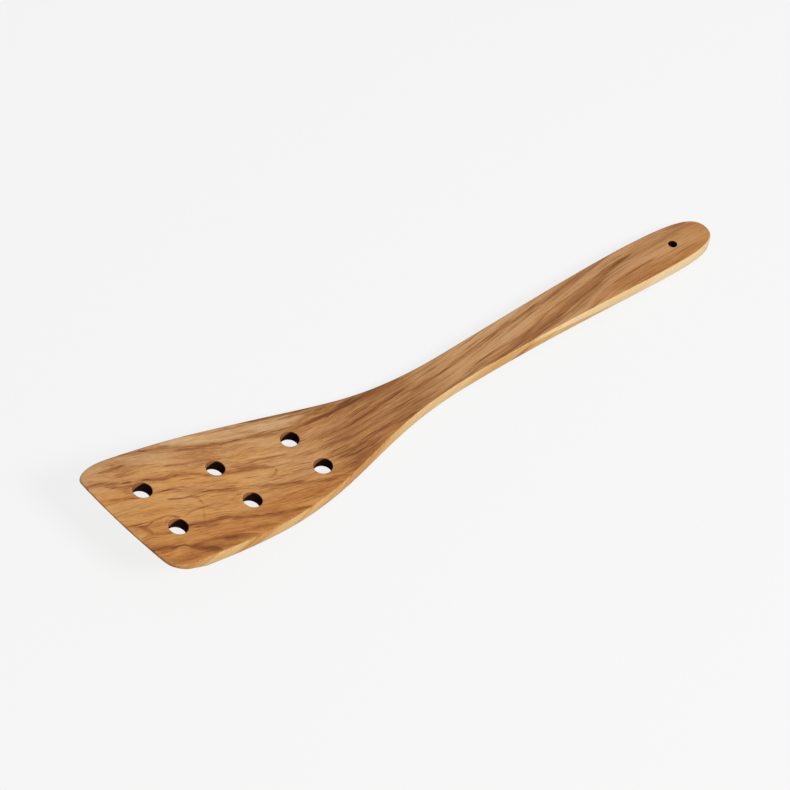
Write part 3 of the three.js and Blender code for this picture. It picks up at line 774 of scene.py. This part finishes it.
handle_heartwood = add(wood, "ValToRGB", {"Fac": tone}, ramp=HANDLE_HEARTWOOD)["Color"]
handle_share = add(wood, "FloatCurve", {"Value": along}, curve=HANDLE_SHARE)[0]
patches = streaks(wavy_grain, *PINK_PATCH)
patch_levels = {0: patches, 1: PINK_PATCHINESS, 2: -NOISE_MIDDLE * PINK_PATCHINESS}
pinkness = add(wood, "Math", patch_levels, operation="MULTIPLY_ADD")[0]
far_pink = add(wood, "MapRange", {"Value": across, "From Min": FAR_PINK_FROM, "From Max": FAR_PINK_FULL})[0]
pinkness = add(wood, "Math", {0: pinkness, 1: far_pink}, operation="ADD")[0]
pinkness = add(wood, "Math", {0: pinkness, 1: handle_share}, operation="ADD", use_clamp=True)[0]
near_heartwood = add(wood, "ValToRGB", {"Fac": tone}, ramp=NEAR_HEARTWOOD)["Color"]
ruddy_from = add(wood, "FloatCurve", {"Value": along}, curve=RUDDY_FROM)[0]
nearer = add(wood, "Math", {0: ruddy_from, 1: across}, operation="SUBTRACT")[0]
ruddy_span = add(wood, "FloatCurve", {"Value": along}, curve=RUDDY_SPAN)[0]
ruddiness = add(wood, "Math", {0: nearer, 1: ruddy_span}, operation="DIVIDE", use_clamp=True)[0]
mellow_colours = {"Factor": pinkness, 6: blade_heartwood, 7: handle_heartwood}
mellow = add(wood, "Mix", mellow_colours, data_type="RGBA")[2]
heartwood = add(wood, "Mix", {"Factor": ruddiness, 6: mellow, 7: near_heartwood}, data_type="RGBA")[2]

# Sapwood of the near wall: the growth rings come out on it slanting, honey on the blade and cream on the
# handle, with a browner band along the lower half of the grip.
WALL_TONE = (
    (8, 0.25), (20, 0.32), (28, 0.36), (32, 0.56), (45, 0.56), (48.5, 0.22), (52, 0.34), (58, 0.38),
    (61, 0.54), (73, 0.56), (77.5, 0.36), (81, 0.52), (90, 0.45), (102, 0.32), (117, 0.33), (124, 0.48),
    (140, 0.62), (160, 0.66), (172, 0.54), (183, 0.43), (192, 0.43), (200, 0.58), (208, 0.84), (240, 0.81),
    (252, 0.75), (275, 0.87), (300, 0.77),
)
RING_SLANT = 1.8
WALL_RING = (60, 1.3)
WALL_RING_CONTRAST = 0.75
LOWER_BAND_TOP = ((172, 7), (185, 5.2), (193, 2.6), (199, 1.4), (205, 1.5), (220, 2.8), (238, 4.6), (248, 7))
LOWER_BAND_FADE_FROM, LOWER_BAND_FADE_TO = -0.5, 0.7
LOWER_BAND_DARKNESS = 0.36
UPPER_SAPWOOD = ((0.1, "#7d400c"), (0.3, "#ae752e"), (0.5, "#c19150"), (0.7, "#c9a670"), (0.9, "#d3b485"))
LOWER_SAPWOOD = ((0.1, "#7d4014"), (0.3, "#a67232"), (0.5, "#b78f52"), (0.7, "#bda06e"), (0.9, "#c9b491"))
LOWER_FROM, LOWER_FULL = 1.0, 4.5
SAPWOOD_REACH = ((0, 0), (100, 0), (130, -0.12), (300, -0.12))
SAPWOOD_EDGE = 0.25
ring_place = add(wood, "Math", {0: depth, 1: RING_SLANT, 2: along}, operation="MULTIPLY_ADD")[0]
wall_grain = add(wood, "CombineXYZ", {"X": along, "Z": ring_place})[0]
wall_rings = streaks(wall_grain, *WALL_RING)
ring_tone = add(wood, "Math", {0: wall_rings, 1: -NOISE_MIDDLE}, operation="ADD")[0]
wall_ground = add(wood, "FloatCurve", {"Value": ring_place}, curve=WALL_TONE)[0]
wall_levels = {0: ring_tone, 1: WALL_RING_CONTRAST, 2: wall_ground}
wall_tone = add(wood, "Math", wall_levels, operation="MULTIPLY_ADD")[0]
band_top = add(wood, "FloatCurve", {"Value": along}, curve=LOWER_BAND_TOP)[0]
in_band = add(wood, "Math", {0: depth, 1: band_top}, operation="SUBTRACT")[0]
band_limits = {
    "Value": in_band,
    "From Min": LOWER_BAND_FADE_FROM,
    "From Max": LOWER_BAND_FADE_TO,
    "To Max": LOWER_BAND_DARKNESS,
}
band_darkness = add(wood, "MapRange", band_limits, interpolation_type="SMOOTHSTEP")[0]
paleness = add(wood, "Math", {0: wall_tone, 1: band_darkness}, operation="SUBTRACT")[0]
upper_sapwood = add(wood, "ValToRGB", {"Fac": paleness}, ramp=UPPER_SAPWOOD)["Color"]
lower_sapwood = add(wood, "ValToRGB", {"Fac": paleness}, ramp=LOWER_SAPWOOD)["Color"]
lower_limits = {"Value": depth, "From Min": LOWER_FROM, "From Max": LOWER_FULL}
lower = add(wood, "MapRange", lower_limits, interpolation_type="SMOOTHSTEP")[0]
sapwood = add(wood, "Mix", {"Factor": lower, 6: upper_sapwood, 7: lower_sapwood}, data_type="RGBA")[2]
from_near_edge = add(wood, "Attribute", attribute_name="from_near_edge")["Fac"]
sapwood_reach = add(wood, "FloatCurve", {"Value": along}, curve=SAPWOOD_REACH)[0]
within_reach = add(wood, "Math", {0: sapwood_reach, 1: from_near_edge}, operation="SUBTRACT")[0]
edge_levels = {0: within_reach, 1: 1 / SAPWOOD_EDGE, 2: 0.5}
reached = add(wood, "Math", edge_levels, operation="MULTIPLY_ADD", use_clamp=True)[0]
near_wall = add(wood, "Attribute", attribute_name="near_wall")["Fac"]
sapwood_share = add(wood, "Math", {0: near_wall, 1: reached}, operation="MULTIPLY")[0]
wood_colour = add(wood, "Mix", {"Factor": sapwood_share, 6: heartwood, 7: sapwood}, data_type="RGBA")[2]

# The oiled surface: the fibres stand up very slightly after sanding, and the oil lies smoother between them.
FIBRE_RELIEF = 0.05
RELIEF_STRENGTH = 0.4
ROUGHEST, SMOOTHEST = 0.58, 0.42
OILED_WOOD_IOR = 1.5
fibre_heights = {"Height": fibres, "Strength": RELIEF_STRENGTH, "Distance": FIBRE_RELIEF * MM}
relief = add(wood, "Bump", fibre_heights)["Normal"]
roughness = add(wood, "MapRange", {"Value": fibres, "To Min": ROUGHEST, "To Max": SMOOTHEST})[0]
oiled = {"Base Color": wood_colour, "Roughness": roughness, "IOR": OILED_WOOD_IOR, "Normal": relief}
add(wood, "OutputMaterial", {"Surface": add(wood, "BsdfPrincipled", oiled)["BSDF"]})


# The table top: a plain sheet of matt white paper that runs out of sight. Most of what the camera sees of it
# is an even white of its own, and the rest is real light, so it keeps the turner's shadow. Size in metres.
TABLE_HALF_SIZE = 4.0
WHITE = linear("#f6f6f6")
SHADOW_SHARE = 0.1
corner_signs = ((-1, -1), (1, -1), (1, 1), (-1, 1))
table_corners = [(x * TABLE_HALF_SIZE, y * TABLE_HALF_SIZE, 0.0) for x, y in corner_signs]
table_mesh = mesh_of("table_top", table_corners, [(0, 1, 2, 3)])
table = put_in_scene("table_top", table_mesh)
matt_white = bare_material("matt_white_paper")
paper = matt_white.node_tree
rays = add(paper, "LightPath")
seen = add(paper, "Math", {0: rays["Is Camera Ray"], 1: rays["Is Glossy Ray"]}, operation="MAXIMUM")[0]
seen = add(paper, "Math", {0: seen, 1: rays["Is Transmission Ray"]}, operation="MAXIMUM")[0]
glow_share = add(paper, "Math", {0: seen, 1: 1 - SHADOW_SHARE}, operation="MULTIPLY")[0]
lit = add(paper, "BsdfDiffuse", {"Color": WHITE})[0]
glow = add(paper, "Emission", {"Color": WHITE, "Strength": 1.0})[0]
mixed = add(paper, "MixShader", {0: glow_share, 1: lit, 2: glow})[0]
add(paper, "OutputMaterial", {"Surface": mixed})
table_mesh.materials.append(matt_white)


# Studio light: an even pale room, and one large soft lamp, high on the near side and a little towards the
# handle, which points at the turner. Sizes are in metres, and the lamp's power is in watts.
ROOM_STRENGTH = 0.35
LAMP_SIZE = 0.4
LAMP_POWER = 20
LAMP_PLACE = (0.26, -1.0, 1.02)
room = bpy.data.worlds.new("pale_room")
room.use_nodes = True
walls = room.node_tree.nodes["Background"]
walls.inputs["Color"].default_value = WHITE
walls.inputs["Strength"].default_value = ROOM_STRENGTH
bpy.context.scene.world = room
lamp_data = bpy.data.lights.new("soft_lamp", "AREA")
lamp_data.size = LAMP_SIZE
lamp_data.energy = LAMP_POWER
lamp = put_in_scene("soft_lamp", lamp_data)
lamp.location = LAMP_PLACE
lamp.rotation_euler = Vector(LAMP_PLACE).to_track_quat("Z", "Y").to_euler()


# The camera: it looks down on the turner from the near side of its blade through a long lens, as in the
# photograph. Its aim and distance are in millimetres, and its lens is worked out from pixels of the picture.
IMAGE_SIZE = 790
SENSOR_WIDTH = 36.0
FOCAL_LENGTH_PIXELS = 1941.7
ELEVATION = math.radians(53.268)
BEARING = math.radians(35.645)
ROLL = math.radians(0.46)
DISTANCE = 798.41
AIM = Vector((-13.479, 6.669, 0))
towards = Vector((
    -math.cos(ELEVATION) * math.sin(BEARING),
    -math.cos(ELEVATION) * math.cos(BEARING),
    math.sin(ELEVATION),
))
level = Vector((math.cos(BEARING), -math.sin(BEARING), 0))
upright = level.cross(-towards)
right = math.cos(ROLL) * level + math.sin(ROLL) * upright
up = math.cos(ROLL) * upright - math.sin(ROLL) * level
turned = Matrix((right, up, towards)).transposed().to_4x4()
camera_data = bpy.data.cameras.new("camera")
camera_data.sensor_width = SENSOR_WIDTH
camera_data.lens = FOCAL_LENGTH_PIXELS * SENSOR_WIDTH / IMAGE_SIZE
camera = put_in_scene("camera", camera_data)
camera.matrix_world = Matrix.Translation((AIM + DISTANCE * towards) * MM) @ turned
bpy.context.scene.camera = camera
bpy.context.scene.view_settings.view_transform = "Standard"
